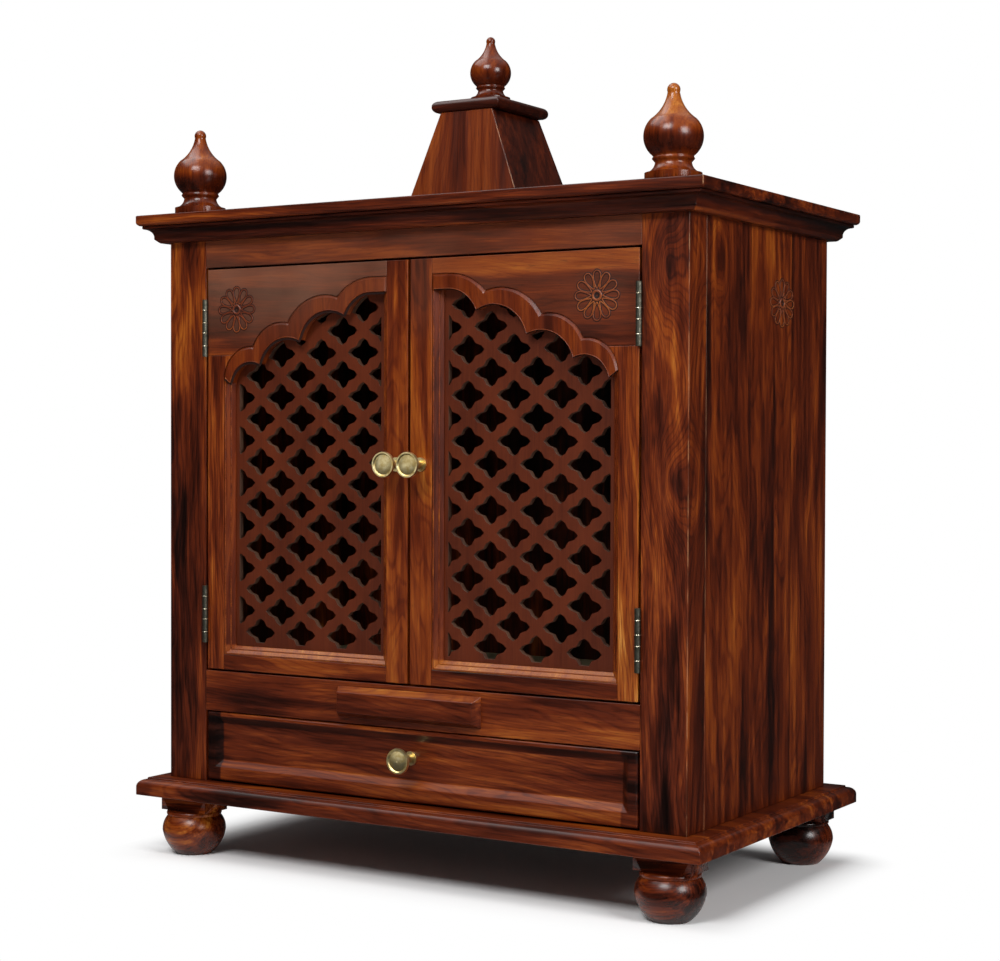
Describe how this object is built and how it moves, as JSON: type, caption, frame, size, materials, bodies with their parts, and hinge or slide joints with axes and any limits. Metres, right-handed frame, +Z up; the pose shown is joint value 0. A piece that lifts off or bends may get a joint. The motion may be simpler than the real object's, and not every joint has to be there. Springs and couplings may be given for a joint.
{
  "type": "household shrine cabinet (pooja mandir)",
  "caption": "Household shrine cabinet of lacquered wood: arched doors with a pierced lattice, a drawer, turned finials and feet, and a small tapering tower.",
  "frame": {"origin": "on the floor under the middle of the cabinet", "axes": "+Z up, -Y towards the doors, +X to the right of someone facing the doors"},
  "size_m": [0.651, 0.366, 0.8437],
  "materials": {
    "sheesham": "lacquered",
    "brass": "polished",
    "aged_brass": "dull"
  },
  "bodies": {
    "cabinet": {"plinth_board": "sheesham", "foot_front_left": "sheesham", "foot_front_right": "sheesham", "foot_rear_left": "sheesham", "foot_rear_right": "sheesham", "left_front_stile": "sheesham", "right_front_stile": "sheesham", "left_side_panel": "sheesham", "right_side_panel": "sheesham", "back_panel": "sheesham", "top_rail": "sheesham", "middle_rail": "sheesham", "rail_block": "sheesham", "shrine_floor": "sheesham", "left_drawer_runner": "sheesham", "right_drawer_runner": "sheesham", "top_board": "sheesham", "cornice_front": "sheesham", "cornice_right": "sheesham", "cornice_back": "sheesham", "cornice_left": "sheesham", "left_finial": "sheesham", "right_finial": "sheesham", "tower_front": "sheesham", "tower_back": "sheesham", "tower_left": "sheesham", "tower_right": "sheesham", "tower_cap": "sheesham", "tower_finial": "sheesham", "left_hinge_frame_leaves": "aged_brass", "right_hinge_frame_leaves": "aged_brass"},
    "left_door": {"left_door_meeting_stile": "sheesham", "left_door_arched_rail": "sheesham", "left_door_hinge_stile": "sheesham", "left_door_bottom_rail": "sheesham", "left_door_moulding": "sheesham", "left_door_lattice": "sheesham", "left_door_knob": "brass", "left_hinge_door_leaves": "aged_brass"},
    "right_door": {"right_door_meeting_stile": "sheesham", "right_door_arched_rail": "sheesham", "right_door_hinge_stile": "sheesham", "right_door_bottom_rail": "sheesham", "right_door_moulding": "sheesham", "right_door_lattice": "sheesham", "right_door_knob": "brass", "right_hinge_door_leaves": "aged_brass"},
    "drawer": {"drawer_front": "sheesham", "drawer_left_side": "sheesham", "drawer_right_side": "sheesham", "drawer_back": "sheesham", "drawer_bottom": "sheesham", "drawer_knob": "brass"}
  },
  "joints": [
    {"name": "left_door_swing", "type": "hinge", "parent": "cabinet", "child": "left_door", "pos_m": [-0.25115, -0.16055, 0.4], "axis": [0, 0, -1], "range_deg": [0, 170]},
    {"name": "right_door_swing", "type": "hinge", "parent": "cabinet", "child": "right_door", "pos_m": [0.25115, -0.16055, 0.4], "axis": [0, 0, 1], "range_deg": [0, 170]},
    {"name": "drawer_slide", "type": "slide", "parent": "cabinet", "child": "drawer", "axis": [0, -1, 0], "range_m": [0, 0.22]}
  ]
}
